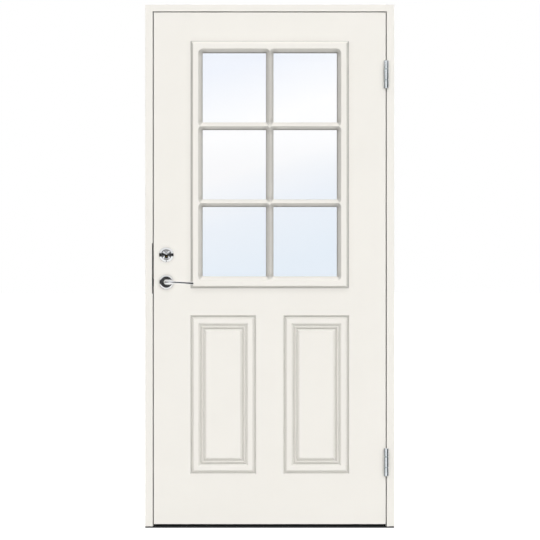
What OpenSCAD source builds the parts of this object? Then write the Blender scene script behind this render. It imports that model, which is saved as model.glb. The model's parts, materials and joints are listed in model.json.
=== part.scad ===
// Panelled front door set: outward opening leaf with a six-light glazed
// upper part and two routed panels, hung in a rebated timber frame.
// Millimetres. X runs to the right seen from outside, Y into the building, Z up.
// The origin is the centre of the threshold's underside.

/* [Frame] */
// Overall width of the frame
frame_w = 990; // [940:10:1190]
// Overall height of the frame
frame_h = 2080; // [2040:10:2380]
// Depth of the frame through the wall
frame_d = 105; // [98:1:160]
// Width of each jamb beside the leaf
jamb_w = 30; // [29:1:45]
// Height of the head above the leaf
head_h = 27; // [20:1:45]
// How far the rebate stops stand in behind the leaf
stop_h = 12; // [11:1:14]
// Thickness of the threshold plate
sill_t = 6; // [5:1:12]
// Gap between the leaf and the jambs
side_gap = 4; // [3.5:0.5:5]
// Gap between the leaf and the head
top_gap = 4; // [3:0.5:6]
// Gap between the leaf and the threshold plate
sill_gap = 9; // [6:1:10]
// Gap between the leaf and the rebate stops, closed by the seal
seal_gap = 4; // [3.5:0.5:6]
// Diameter of the fixing holes through the jambs
fixing_d = 14; // [8:1:16]

/* [Leaf] */
// Thickness of the leaf
leaf_t = 62; // [60:1:66]
// Thickness of each skin
skin_t = 9; // [8:0.5:12]
// Width of the stiles
stile_w = 95; // [90:1:130]
// Height of the rails
rail_h = 95; // [60:1:100]

/* [Glazing] */
// Number of lights side by side
lights_across = 2; // [1:1:2]
// Number of lights above each other
light_rows = 3; // [2:1:3]
// Distance from the edge of the leaf to the glazing frame
glazing_side = 148; // [140:1:200]
// Height of each light
light_h = 276; // [200:1:278]
// Width of the glazing bars
bar_w = 30; // [30:1:36]
// Width of the glazing frame around the lights
border_w = 46; // [44:1:54]
// How far the glazing frame stands out from the leaf
glazing_proud = 10; // [9:1:14]
// Width of the sloping outer edge of the glazing frame
glazing_edge_w = 8; // [4:0.5:9]
// Width of the sloping reveals around the lights
reveal_w = 13; // [8:0.5:13]
// Depth of the sloping reveals
reveal_d = 13; // [8:0.5:13.5]
// Width of the steeper lip between the reveals and the glass
lip_w = 4.5; // [2:0.5:4.5]
// Radius of the corners of the lights
light_corner_r = 2; // [1.5:0.5:5]
// Distance from the top of the leaf down to the glazing frame
glazing_drop = 115; // [105:1:130]
// Thickness of each pane of glass
pane_t = 4; // [3:0.5:5]
// Width of the two sealed spaces between the panes
spacer_t = 12; // [10:1:13]

/* [Panels] */
// Distance from the edge of the leaf to the panels
panel_side = 145; // [110:1:180]
// Height of each routed panel
panel_h = 631; // [500:1:680]
// Distance between the two panels
panel_gap = 108; // [60:1:150]
// Distance from the foot of the leaf up to the panels
panel_base = 199; // [150:1:215]
// Depth of the routed grooves
groove_d = 6; // [3:0.5:6.5]
// Width of the outer groove
outer_groove_w = 15; // [10:1:16]
// Width of the flat between the outer and the inner grooves
crest_w = 17; // [10:1:24]
// Width of the pair of inner grooves
inner_grooves_w = 32; // [24:1:36]

/* [Hinges] */
// Height of each hinge
hinge_h = 111; // [96:1:130]
// Diameter of the hinge knuckles
knuckle_d = 20; // [18:1:22]
// Diameter of the hinge pins
pin_d = 10; // [8:0.5:11]
// Distance from the top and the foot of the leaf to the middle of the hinge
hinge_inset = 246; // [150:1:400]

/* [Lock] */
// Height of the lever's axis above the underside of the threshold
handle_z = 977; // [960:1:1080]
// Distance between the lever's axis and the middle of the cylinder
lock_pitch = 109; // [105:1:120]
// Distance from the edge of the leaf to the lever's axis
backset = 50; // [48:1:60]
// Diameter of the roses and of the cylinder's ring
rose_d = 57; // [54:1:62]
// Height of the roses
rose_h = 8; // [8:0.5:11]
// Distance from the lever's axis to its tip
lever_l = 109; // [95:1:140]
// How far the lever stands out from the face of the leaf
lever_reach = 50; // [46:1:65]
// How far the tip of the lever lies below its axis
lever_droop = 5.6; // [0:0.2:12]
// Diameter of the lever's neck
neck_d = 20; // [18:1:22]
// Side of the square spindle
spindle_w = 8; // [7:0.5:9]
// Diameter of the lock cylinder
cylinder_d = 39; // [38:0.5:42]
// Diameter of the key plug
plug_d = 13.5; // [12:0.5:15]
// How far the key plug sits below the middle of the cylinder
plug_drop = 7.2; // [6.6:0.2:8]
// How far the latch bolt stands out of the edge of the leaf
latch_throw = 12; // [10:0.5:13]
// How far the deadbolt is thrown
bolt_throw = 20; // [16:1:20]

/* [Hidden] */
$fn = 48;
over = 1;               // cutters reach this far past a face
slack = 0.05;           // radial clearance around screws and in sockets
slide_gap = 0.3;        // clearance around the sliding bolts

// Frame and leaf
half_w = frame_w / 2;
rebate_x = half_w - jamb_w;
stop_x = rebate_x - stop_h;
head_z = frame_h - head_h;
leaf_x = rebate_x - side_gap;
leaf_z0 = sill_t + sill_gap;
leaf_z1 = head_z - top_gap;
y_out = -frame_d / 2;
y_in = frame_d / 2;
leaf_y1 = y_out + leaf_t;
stop_y = leaf_y1 + seal_gap;
core_y0 = y_out + skin_t;
core_y1 = leaf_y1 - skin_t;
mid_y = (y_out + leaf_y1) / 2;
sides = [-1, 1];

// Threshold stop behind the foot of the leaf
sill_stop_z = leaf_z0 + stop_h;
sill_crest = 26;
sill_nose_z = sill_t + 6;

// Seals: a tapered lip on the stop and a root pressed into it
seal_lip_w = 7;
seal_tip_w = 3;
seal_lip_t = seal_gap - slide_gap;
seal_root_w = 3;
seal_root_d = 6;
seal_inset = 8;
seal_x = rebate_x - seal_inset;
seal_top_z = head_z - seal_inset;
seal_foot_z = sill_stop_z - 6;

// Fixing holes through the jambs and screws through the corners
fixing_y = (y_out + stop_y) / 2;
fixing_end = 120;
fixing_middle = [700, 730];
fixing_z = [fixing_end, fixing_middle[0], frame_h - fixing_middle[1], frame_h - fixing_end];
corner_screw_length = 90;
corner_screw_x = half_w - jamb_w / 2;
corner_screw_y = [y_out + 27.5, y_in - 17.5];

// Glazing
glazing_w = 2 * (leaf_x - glazing_side);
light_w = (glazing_w - 2 * border_w - (lights_across - 1) * bar_w) / lights_across;
glazing_h = light_rows * light_h + (light_rows - 1) * bar_w + 2 * border_w;
glazing_z = leaf_z1 - glazing_drop - glazing_h / 2;
cut_lap = 13;
cut_w = glazing_w - 2 * cut_lap;
cut_h = glazing_h - 2 * cut_lap;
collar_slack = 1;
pane_edge = 12;
pane_w = cut_w - 2 * pane_edge;
pane_h = cut_h - 2 * pane_edge;
unit_t = 3 * pane_t + 2 * spacer_t;
unit_y0 = mid_y - unit_t / 2;
tape_t = 1;
tape_w = 12;
collar_d = unit_y0 - tape_t - y_out;
edge_step = 1.5;
land_d = 1;
lip_d = glazing_proud + collar_d - reveal_d - land_d;
spacer_inset = 2;
spacer_w = 12;
block_w = 60;
block_x = 0.31 * pane_w;
glazing_screw_l = leaf_t + glazing_proud + 4;
glazing_screw_x = pane_w / 2 + pane_edge / 2;
glazing_screw_z = pane_h / 2 + pane_edge / 2;

// Routed panels: where each groove turns, measured in from the panel's edge
panel_w = leaf_x - panel_side - panel_gap / 2;
panel_z = leaf_z0 + panel_base + panel_h / 2;
panel_x = (panel_gap + panel_w) / 2;
inner_start = outer_groove_w + crest_w;
groove_reach = inner_start + inner_grooves_w + 2 * over;
ridge_drop = 0.8;

// Hinges
hinge_z = [leaf_z0 + hinge_inset, leaf_z1 - hinge_inset];
pin_x = rebate_x - side_gap / 2;
pin_y = y_out - knuckle_d / 2 - 1;
knuckle_chamfer = 1.4;
washer_t = 1.5;
washer_r = knuckle_d / 2 - knuckle_chamfer - 0.4;
end_knuckle_h = 0.3 * hinge_h;
hinge_plate_t = 3;
hinge_plate_d = 40;
hinge_screw_z = [-0.32 * hinge_h, 0, 0.32 * hinge_h];
hinge_screw_y = [14, 28, 14];
leaf_screw_l = 40;
jamb_screw_l = jamb_w - 5;
pin_bore_gap = 0.02;
turning_gap = 0.06;

// Lock, in the middle of the leaf's thickness
axis_x = -leaf_x + backset;
cylinder_z = handle_z + lock_pitch;
plug_z = cylinder_z - plug_drop;
face_t = 3;
face_w = 22;
face_end = 15;
case_t = 16;
case_wall = 2;
case_end = 30.5;
case_back = 28;
case_x0 = -leaf_x + face_t;
case_x1 = axis_x + case_back;
case_y0 = mid_y - case_t / 2;
case_y1 = mid_y + case_t / 2;
case_z0 = handle_z - case_end;
case_z1 = cylinder_z + case_end;
face_z0 = case_z0 - face_end;
face_z1 = case_z1 + face_end;
case_slack = 0.5;
lock_block_end = 40;
lock_block_z = [face_z0 - lock_block_end, face_z1 + lock_block_end];
bolt_t = case_t - 2 * case_wall - 2 * slide_gap;
half_gap = 0.5;
tail_y0 = mid_y + half_gap;
tail_y1 = mid_y + bolt_t / 2;

// Follower that draws the latch back as the lever turns
lever_turn = 45;
latch_travel = latch_throw + 0.5;
follower_arm = latch_travel / (2 * sin(lever_turn / 2));
follower_r = 13;
follower_journal_r = 9;
latch_h = 28;
latch_rear = axis_x - follower_r - latch_travel - 2.5;
latch_tip = -leaf_x - latch_throw;

// Cam that throws the deadbolt as the key or the thumbturn turns
cam_turn = 90;
cam_arm = bolt_throw / (2 * sin(cam_turn / 2));
cam_r = 12;
cam_journal_r = 8;
bolt_h = 32;
bolt_rear = axis_x - cam_r - 8;
crank_pin_r = 2;
crank_w = 7;
tail_h = 12;
plug_tail = [6, 2.4];
turn_shaft_w = 6;

// Strike plate and the pockets behind it
strike_t = 3;
strike_w = 58;
strike_gap = 1.8;
latch_pocket = 15;
bolt_pocket = bolt_throw - side_gap + 6;
strike_screw_z = [face_z0 + 12, (handle_z + plug_z) / 2, face_z1 - 12];

// Roses, cylinder and levers
rose_r = rose_d / 2;
rose_wall = 1.5;
rose_edge = 6;
base_r = rose_r - rose_wall - 0.7;
base_h = 4;
neck_hole_r = neck_d / 2 + slide_gap;
rose_screw_x = 19;
rose_screw_l = 16;
barrel_r = cylinder_d / 2 - 0.2;
ring_h = 9;
barrel_proud = 8;
plug_gap = 0.05;
cylinder_screw_x = 15;
cylinder_screw_l = 56;
turn_hub_r = 9.7;
turn_wing_l = 34;
turn_wing_t = 9;
turn_wing_h = 24;
spindle_in = 30;
lever_bend = 16;
lever_grip_r = [3.4, 6.5];
lever_flare = 1.6;
lever_taper = [10, 44];
grip_roundness = 0.38;   // exponent of the grip's section: 1 is oval, less is squarer
grub_r = 2.5;
grub_y = 14;
lever_sides = 20;

// Screws: shank radius and head radius
wood_screw = [2.25, 4.5];
hinge_screw = [2.5, 4.8];
frame_screw = [3, 5.5];
machine_screw = [2, 4];

paint = [0.95, 0.94, 0.91];
timber = [0.80, 0.65, 0.45];
steel = [0.70, 0.71, 0.73];
chrome = [0.82, 0.83, 0.85];
brass = [0.72, 0.55, 0.25];
dark_metal = [0.12, 0.12, 0.12];
rubber = [0.08, 0.08, 0.08];
foam = [0.90, 0.85, 0.62];
glass = [0.80, 0.90, 0.95, 0.4];

// Shared shapes

// Box between two corners
module block(x, y, z) {
    translate([x[0], y[0], z[0]]) cube([x[1] - x[0], y[1] - y[0], z[1] - z[0]]);
}

// A (y, z) outline carried along X
module along_x(x0, x1) {
    translate([x0, 0, 0]) rotate([90, 0, 90]) linear_extrude(x1 - x0) children();
}

// An (x, z) outline carried along Y
module along_y(y0, y1) {
    translate([0, y1, 0]) rotate([90, 0, 0]) linear_extrude(y1 - y0) children();
}

// An (x, y) outline carried along Z
module along_z(z0, z1) {
    translate([0, 0, z0]) linear_extrude(z1 - z0) children();
}

// An outline with its two axes exchanged
module swapped() rotate(90) mirror([0, 1]) children();

// Round bar along Y
module bar_y(x, z, y0, y1, r) {
    translate([x, y0, z]) rotate([-90, 0, 0]) cylinder(h = y1 - y0, r = r);
}

// Round bar along Z
module bar_z(x, y, z0, z1, r) {
    translate([x, y, z0]) cylinder(h = z1 - z0, r = r);
}

// Round bar along Z with both ends chamfered
module chamfered_bar_z(x, y, z0, z1, r, chamfer) {
    h = z1 - z0;
    translate([x, y, z0]) rotate_extrude() polygon([
        [0, 0], [r - chamfer, 0], [r, chamfer], [r, h - chamfer], [r - chamfer, h], [0, h]
    ]);
}

// The half of the set at the given sign of X
module sided(side) {
    if (side < 0) mirror([1, 0, 0]) children();
    else children();
}

// The inner face's copy of a shape drawn on the outer face
module inside() {
    translate([0, 2 * mid_y, 0]) mirror([0, 1, 0]) children();
}

// Countersunk screw along -Z from its head at the origin, or its hole
module screw(size, length, gap = 0) {
    r = size[0] + gap;
    head_r = size[1] + gap;
    translate([0, 0, -length - gap]) cylinder(h = length + gap, r = r);
    translate([0, 0, -(head_r - r)]) cylinder(h = head_r - r, r1 = r, r2 = head_r);
}

// Screw driven along -X, +X or +Y
module screw_minus_x(size, length, gap = 0) rotate([0, 90, 0]) screw(size, length, gap);
module screw_plus_x(size, length, gap = 0) rotate([0, -90, 0]) screw(size, length, gap);
module screw_plus_y(size, length, gap = 0) rotate([90, 0, 0]) screw(size, length, gap);

// A turned shape standing out from the outer face, drawn as (radius, height)
module turned(x, z) {
    translate([x, y_out, z]) rotate([90, 0, 0]) rotate_extrude() children();
}

// Rectangular ring around the glazing's middle
module glazing_ring(w, h, ring_w, y0, y1) {
    along_y(y0, y1) translate([0, glazing_z]) difference() {
        square([w, h], center = true);
        square([w - 2 * ring_w, h - 2 * ring_w], center = true);
    }
}

// Frame

module jamb_section() {
    difference() {
        polygon([
            [rebate_x, y_out], [half_w, y_out], [half_w, y_in],
            [stop_x, y_in], [stop_x, stop_y], [rebate_x, stop_y]
        ]);
        translate([seal_x - seal_root_w / 2, stop_y - over])
            square([seal_root_w, seal_root_d + over]);
    }
}

module corner_screws(gap = 0) {
    for (side = sides) for (y = corner_screw_y) {
        translate([side * corner_screw_x, y, frame_h]) screw(frame_screw, corner_screw_length, gap);
        translate([side * corner_screw_x, y, 0])
            mirror([0, 0, 1]) screw(frame_screw, corner_screw_length, gap);
    }
}

// One jamb, on the side given by the sign of X
module jamb(side) {
    difference() {
        sided(side) along_z(sill_t, head_z) jamb_section();
        for (z = fixing_z)
            translate([side * (stop_x - over), fixing_y, z])
                rotate([0, side * 90, 0]) cylinder(h = half_w - stop_x + 2 * over, d = fixing_d);
        corner_screws(slack);
    }
}

module strike_pockets(gap, latch_depth, bolt_depth) {
    y = [mid_y - bolt_t / 2 - gap, mid_y + bolt_t / 2 + gap];
    block([-rebate_x - latch_depth, -rebate_x + over], y,
          [handle_z - latch_h / 2 - gap, handle_z + latch_h / 2 + gap]);
    block([-rebate_x - bolt_depth, -rebate_x + over], y,
          [plug_z - bolt_h / 2 - gap, plug_z + bolt_h / 2 + gap]);
}

// The strike plate's outline, or with past the recess that it lies in
module strike_blank(past = 0) {
    block([-rebate_x - strike_t, -rebate_x + past], [y_out - past, y_out + strike_w],
          [face_z0, face_z1]);
}

module strike_screw_set(gap = 0) {
    for (z = strike_screw_z)
        translate([-rebate_x, mid_y, z]) screw_minus_x(wood_screw, jamb_screw_l, gap);
}

module lock_jamb() color(paint) difference() {
    jamb(-1);
    strike_blank(over);
    strike_pockets(strike_gap, latch_pocket, bolt_pocket);
    strike_screw_set(slack);
}

module hinge_jamb() color(paint) difference() {
    jamb(1);
    for (z = hinge_z) {
        hinge_frame_blank(z, over);
        hinge_frame_screw_set(z, slack);
    }
}

module frame_head() color(paint) difference() {
    union() {
        block([-half_w, half_w], [y_out, y_in], [head_z, frame_h]);
        block([-stop_x, stop_x], [stop_y, y_in], [head_z - stop_h, head_z]);
    }
    block([-stop_x - over, stop_x + over], [stop_y - over, stop_y + seal_root_d],
          [seal_top_z - seal_root_w / 2, seal_top_z + seal_root_w / 2]);
    corner_screws(slack);
}

module threshold() color(dark_metal) difference() {
    union() {
        block([-half_w, half_w], [y_out, y_in], [0, sill_t]);
        along_x(-stop_x, stop_x) polygon([
            [stop_y, 0], [stop_y, sill_stop_z], [stop_y + sill_crest, sill_stop_z],
            [y_in, sill_nose_z], [y_in, 0]
        ]);
    }
    block([-stop_x - over, stop_x + over], [stop_y - over, stop_y + seal_root_d],
          [seal_foot_z - seal_root_w / 2, seal_foot_z + seal_root_w / 2]);
    corner_screws(slack);
}

// Seal sections, drawn with the stop's face along the first axis
module seal_lip() {
    polygon([
        [-seal_lip_w / 2, 0], [seal_lip_w / 2, 0],
        [seal_tip_w / 2, -seal_lip_t], [-seal_tip_w / 2, -seal_lip_t]
    ]);
}

module seal_root() {
    translate([-seal_root_w / 2 + slack, -over])
        square([seal_root_w - 2 * slack, over + seal_root_d - slack]);
}

// A seal section carried along X at the given height
module level_seal(half_l, z) {
    along_x(-half_l, half_l) translate([stop_y, z]) swapped() children();
}

module frame_seal() color(rubber) {
    for (side = sides)
        along_z(sill_t, seal_top_z + seal_lip_w / 2) translate([side * seal_x, stop_y]) {
            seal_lip();
            seal_root();
        }
    level_seal(seal_x, seal_top_z) seal_lip();
    level_seal(stop_x, seal_top_z) seal_root();
}

module threshold_seal() color(rubber) {
    level_seal(stop_x, seal_foot_z) seal_lip();
    level_seal(stop_x, seal_foot_z) seal_root();
}

module strike_plate() color(steel) difference() {
    strike_blank();
    strike_pockets(strike_gap, strike_t + over, strike_t + over);
    strike_screw_set(slack);
}

module strike_screws() color(steel) strike_screw_set();

module frame_corner_screws() color(steel) corner_screws();

// Hinges

// Heights of the three knuckles, from the foot of the hinge
function knuckle_span(i) =
    i == 0 ? [0, end_knuckle_h] :
    i == 1 ? [end_knuckle_h + washer_t, hinge_h - end_knuckle_h - washer_t] :
    [hinge_h - end_knuckle_h, hinge_h];

// A hinge plate's outline, or with past the recess that it lies in
module hinge_frame_blank(z, past = 0) {
    block([rebate_x - past, rebate_x + hinge_plate_t], [y_out - past, y_out + hinge_plate_d],
          [z - hinge_h / 2, z + hinge_h / 2]);
}

module hinge_leaf_blank(z, past = 0) {
    block([leaf_x - hinge_plate_t, leaf_x + past], [y_out - past, y_out + hinge_plate_d],
          [z - hinge_h / 2, z + hinge_h / 2]);
}

module hinge_frame_screw_set(z, gap = 0) {
    for (i = [0 : len(hinge_screw_z) - 1])
        translate([rebate_x, y_out + hinge_screw_y[i], z + hinge_screw_z[i]])
            screw_plus_x(hinge_screw, jamb_screw_l, gap);
}

module hinge_leaf_screw_set(z, gap = 0) {
    for (i = [0 : len(hinge_screw_z) - 1])
        translate([leaf_x, y_out + hinge_screw_y[i], z + hinge_screw_z[i]])
            screw_minus_x(hinge_screw, leaf_screw_l, gap);
}

// Knuckles of one hinge half, with the webs that carry them
module knuckles(z, which, web_x) {
    for (i = which) {
        span = [for (h = knuckle_span(i)) z - hinge_h / 2 + h];
        chamfered_bar_z(pin_x, pin_y, span[0], span[1], knuckle_d / 2, knuckle_chamfer);
        block(web_x, [pin_y, y_out], [span[0] + knuckle_chamfer, span[1] - knuckle_chamfer]);
    }
}

module pin_bore(z, gap) {
    bar_z(pin_x, pin_y, z - hinge_h / 2 - over, z + hinge_h / 2 + over, pin_d / 2 + gap);
}

module hinge_frame_plate(z) color(steel) difference() {
    union() {
        hinge_frame_blank(z);
        knuckles(z, [0, 2], [rebate_x, rebate_x + hinge_plate_t]);
    }
    pin_bore(z, pin_bore_gap);
    hinge_frame_screw_set(z, slack);
}

module hinge_leaf_plate(z) color(steel) difference() {
    union() {
        hinge_leaf_blank(z);
        knuckles(z, [1], [leaf_x - hinge_plate_t, leaf_x]);
    }
    pin_bore(z, turning_gap);
    hinge_leaf_screw_set(z, slack);
}

module hinge_pin(z) {
    color(steel) bar_z(pin_x, pin_y, z - hinge_h / 2, z + hinge_h / 2, pin_d / 2);
}

module lower_hinge_frame_plate() hinge_frame_plate(hinge_z[0]);
module upper_hinge_frame_plate() hinge_frame_plate(hinge_z[1]);
module lower_hinge_leaf_plate() hinge_leaf_plate(hinge_z[0]);
module upper_hinge_leaf_plate() hinge_leaf_plate(hinge_z[1]);
module lower_hinge_pin() hinge_pin(hinge_z[0]);
module upper_hinge_pin() hinge_pin(hinge_z[1]);

module hinge_washers() color(steel) {
    for (z = hinge_z) for (h = [end_knuckle_h, hinge_h - end_knuckle_h - washer_t]) difference() {
        z0 = z - hinge_h / 2 + h;
        bar_z(pin_x, pin_y, z0, z0 + washer_t, washer_r);
        pin_bore(z, pin_bore_gap);
    }
}

module hinge_frame_screws() color(steel) for (z = hinge_z) hinge_frame_screw_set(z);
module hinge_leaf_screws() color(steel) for (z = hinge_z) hinge_leaf_screw_set(z);

// Leaf

module leaf_layer(y0, y1) block([-leaf_x, leaf_x], [y0, y1], [leaf_z0, leaf_z1]);

module glazing_cut(y0, y1) {
    block([-cut_w / 2, cut_w / 2], [y0, y1], [glazing_z - cut_h / 2, glazing_z + cut_h / 2]);
}

// Groove outlines: inward distance from the panel's edge against depth.
// Each is widened above the face along its own slopes.
function groove_top(s, slope_w) = [s + over * slope_w / groove_d, -over];

module outer_groove() {
    steep = 0.37 * outer_groove_w;
    polygon([
        groove_top(0, -steep), [steep, groove_d],
        groove_top(outer_groove_w, outer_groove_w - steep)
    ]);
}

module inner_grooves() {
    turns = [for (share = [0.28, 0.5, 0.69, 1]) inner_start + share * inner_grooves_w];
    polygon([
        groove_top(inner_start, inner_start - turns[0]), [turns[0], groove_d],
        [turns[1], ridge_drop], [turns[2], groove_d],
        groove_top(turns[3], turns[3] - turns[2])
    ]);
}

// One side of a mitred rectangular loop, its outline drawn as (inward distance, depth)
module loop_side(length, reach, depth) {
    ends = length / 2 + 2 * over;
    intersection() {
        along_x(-ends, ends) swapped() children();
        along_y(-2 * over, depth + over) polygon([
            [-ends, -2 * over], [ends, -2 * over],
            [length / 2 - reach, reach], [reach - length / 2, reach]
        ]);
    }
}

module mitred_loop(w, h, reach, depth) {
    for (turn = [0 : 3]) {
        across = turn % 2 == 0 ? h : w;
        along = turn % 2 == 0 ? w : h;
        rotate([0, turn * 90, 0]) translate([0, 0, -across / 2])
            loop_side(along, reach, depth) children();
    }
}

module panel_grooves() {
    for (side = sides) translate([side * panel_x, y_out, panel_z]) {
        mitred_loop(panel_w, panel_h, groove_reach, groove_d) outer_groove();
        mitred_loop(panel_w, panel_h, groove_reach, groove_d) inner_grooves();
    }
}

// Holes for the lever's spindle and the screws of its rose, from a face inwards
module lever_holes(depth) {
    bar_y(axis_x, handle_z, y_out - over, y_out + depth, spindle_w);
    rose_screw_set(slack);
}

module outer_skin() color(paint) difference() {
    leaf_layer(y_out, core_y0);
    glazing_cut(y_out - over, core_y0 + over);
    panel_grooves();
    for (z = hinge_z) hinge_leaf_blank(z, over);
    lever_holes(skin_t + over);
    bar_y(axis_x, cylinder_z, y_out - over, core_y0 + over, barrel_r + slack);
}

module inner_skin() color(paint) difference() {
    inside() difference() {
        leaf_layer(y_out, core_y0);
        glazing_cut(y_out - over, core_y0 + over);
        panel_grooves();
        lever_holes(skin_t + over);
    }
    thumbturn_holes();
}

// Holes on the inner side for the thumbturn's shaft and the cylinder's screws
module thumbturn_holes() {
    bar_y(axis_x, plug_z, case_y1 - over, leaf_y1 + over, turn_shaft_w);
    cylinder_screw_set(slack);
}

// Part of the stile on the lock side between two heights
module lock_stile_length(z) block([-leaf_x, -leaf_x + stile_w], [core_y0, core_y1], z);

module lock_stile() color(timber) {
    lock_stile_length([leaf_z0, lock_block_z[0]]);
    lock_stile_length([lock_block_z[1], leaf_z1]);
}

// Block that the lock is let into
module lock_block() color(timber) difference() {
    lock_stile_length(lock_block_z);
    block([-leaf_x - over, case_x1 + case_slack],
          [case_y0 - case_slack, case_y1 + case_slack],
          [case_z0 - case_slack, case_z1 + case_slack]);
    faceplate_blank(over);
    faceplate_screw_set(slack);
    lever_holes(leaf_t);
    inside() rose_screw_set(slack);
    bar_y(axis_x, cylinder_z, core_y0 - over, mid_y, barrel_r + slack);
    thumbturn_holes();
}

module hinge_stile() color(timber) difference() {
    block([leaf_x - stile_w, leaf_x], [core_y0, core_y1], [leaf_z0, leaf_z1]);
    for (z = hinge_z) {
        hinge_leaf_blank(z, over);
        hinge_leaf_screw_set(z, slack);
    }
}

module rail(z) {
    color(timber) block([-leaf_x + stile_w, leaf_x - stile_w], [core_y0, core_y1], [z, z + rail_h]);
}

module top_rail() rail(leaf_z1 - rail_h);
module bottom_rail() rail(leaf_z0);

module insulation_core() color(foam) difference() {
    block([-leaf_x + stile_w, leaf_x - stile_w], [core_y0, core_y1],
          [leaf_z0 + rail_h, leaf_z1 - rail_h]);
    glazing_cut(core_y0 - over, core_y1 + over);
}

// Glazing

// What the edge's cutter takes off, drawn as (in from the wall, down from the face)
module edge_slope(w, d) {
    polygon([[-over, -over], [w + over * w / d, -over], [-over, d + over * d / w]]);
}

// What a reveal's cutter takes off: a slope down from the face and a steeper lip below it
module reveal_slope() {
    polygon([
        [-over, -over],
        [lip_w + reveal_w + over * reveal_w / reveal_d, -over],
        [lip_w, reveal_d],
        [-over, reveal_d + lip_d + over * lip_d / lip_w]
    ]);
}

// Cutter for one light: a straight opening with sloping reveals
module light_cutter(depth) {
    flat_w = light_w - 2 * light_corner_r;
    flat_h = light_h - 2 * light_corner_r;
    along_y(-over, depth + over) {
        square([light_w, flat_h], center = true);
        square([flat_w, light_h], center = true);
        for (sx = sides) for (sz = sides)
            translate([sx * flat_w / 2, sz * flat_h / 2]) circle(light_corner_r);
    }
    for (turn = [0 : 3]) {
        length = turn % 2 == 0 ? flat_w : flat_h;
        across = turn % 2 == 0 ? light_h : light_w;
        corner = turn % 2 == 0 ? [flat_w / 2, flat_h / 2] : [flat_h / 2, flat_w / 2];
        rotate([0, turn * 90, 0]) {
            translate([0, 0, across / 2]) rotate([0, 90, 0])
                linear_extrude(length, center = true) mirror([1, 0]) reveal_slope();
            translate([corner[0], 0, corner[1]]) rotate([-90, 0, 0])
                rotate([0, 0, -90]) rotate_extrude(angle = 90)
                    translate([light_corner_r, 0]) reveal_slope();
        }
    }
}

// Sloping cutters along the outer edges of the glazing frame
module glazing_edge_cutters() {
    edge_d = glazing_proud - edge_step;
    for (turn = [0 : 3]) {
        across = turn % 2 == 0 ? glazing_h : glazing_w;
        along = turn % 2 == 0 ? glazing_w : glazing_h;
        rotate([0, turn * 90, 0]) translate([0, 0, across / 2]) rotate([0, 90, 0])
            linear_extrude(along + 2 * over, center = true) edge_slope(glazing_edge_w, edge_d);
    }
}

module glazing_frame() {
    depth = glazing_proud + collar_d;
    difference() {
        translate([0, y_out - glazing_proud, glazing_z]) difference() {
            union() {
                along_y(0, glazing_proud) square([glazing_w, glazing_h], center = true);
                along_y(glazing_proud, depth)
                    square([cut_w - 2 * collar_slack, cut_h - 2 * collar_slack], center = true);
            }
            glazing_edge_cutters();
            for (i = [0 : lights_across - 1]) for (j = [0 : light_rows - 1])
                translate([
                    (i - (lights_across - 1) / 2) * (light_w + bar_w), 0,
                    (j - (light_rows - 1) / 2) * (light_h + bar_w)
                ]) light_cutter(depth);
        }
        children();
    }
}

module outer_glazing_frame() color(paint) glazing_frame() glazing_screw_set(slack);
module inner_glazing_frame() color(paint) inside() glazing_frame() inside() glazing_screw_set(slack);

// Screws that clamp the two glazing frames together, driven from inside
module glazing_screw_set(gap = 0) {
    head_y = leaf_y1 + glazing_proud;
    for (sx = sides) {
        for (share = [-0.43, 0, 0.43])
            translate([sx * glazing_screw_x, head_y, glazing_z + share * pane_h])
                mirror([0, 1, 0]) screw_plus_y(machine_screw, glazing_screw_l, gap);
        for (sz = sides)
            translate([sx * 0.155 * pane_w, head_y, glazing_z + sz * glazing_screw_z])
                mirror([0, 1, 0]) screw_plus_y(machine_screw, glazing_screw_l, gap);
    }
}

module glazing_screws() color(steel) glazing_screw_set();

module pane(i) {
    y0 = unit_y0 + i * (pane_t + spacer_t);
    color(glass) block([-pane_w / 2, pane_w / 2], [y0, y0 + pane_t],
                       [glazing_z - pane_h / 2, glazing_z + pane_h / 2]);
}

module spacer(i) {
    y0 = unit_y0 + pane_t + i * (pane_t + spacer_t);
    color(rubber) glazing_ring(pane_w - 2 * spacer_inset, pane_h - 2 * spacer_inset, spacer_w,
                               y0, y0 + spacer_t);
}

module glazing_tape(y0) color(rubber) glazing_ring(pane_w, pane_h, tape_w, y0, y0 + tape_t);

module outer_pane() pane(0);
module middle_pane() pane(1);
module inner_pane() pane(2);
module outer_spacer() spacer(0);
module inner_spacer() spacer(1);
module outer_glazing_tape() glazing_tape(unit_y0 - tape_t);
module inner_glazing_tape() glazing_tape(unit_y0 + unit_t);

module glazing_blocks() color(rubber) {
    for (side = sides)
        block([side * block_x - block_w / 2, side * block_x + block_w / 2],
              [unit_y0, unit_y0 + unit_t],
              [glazing_z - cut_h / 2, glazing_z - pane_h / 2]);
}

// Lock

// The faceplate's outline, or with past the recess that it lies in
module faceplate_blank(past = 0) {
    block([-leaf_x - past, case_x0], [mid_y - face_w / 2, mid_y + face_w / 2], [face_z0, face_z1]);
}

module faceplate_screw_set(gap = 0) {
    for (z = [face_z0 + face_end / 2, face_z1 - face_end / 2])
        translate([-leaf_x, mid_y, z]) screw_plus_x(machine_screw, leaf_screw_l / 2, gap);
}

module lock_faceplate() color(steel) difference() {
    faceplate_blank();
    for (slot = [[handle_z, latch_h], [plug_z, bolt_h]])
        block([-leaf_x - over, case_x0 + over],
              [mid_y - bolt_t / 2 - slide_gap, mid_y + bolt_t / 2 + slide_gap],
              [slot[0] - slot[1] / 2 - slide_gap, slot[0] + slot[1] / 2 + slide_gap]);
    faceplate_screw_set(slack);
}

module faceplate_screws() color(steel) faceplate_screw_set();

module case_holes() {
    bar_y(axis_x, handle_z, case_y0 - over, case_y1 + over, follower_journal_r + slack);
    bar_y(axis_x, plug_z, case_y0 - over, case_y1 + over, cam_journal_r + slack);
    cylinder_screw_set(slack);
}

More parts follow.
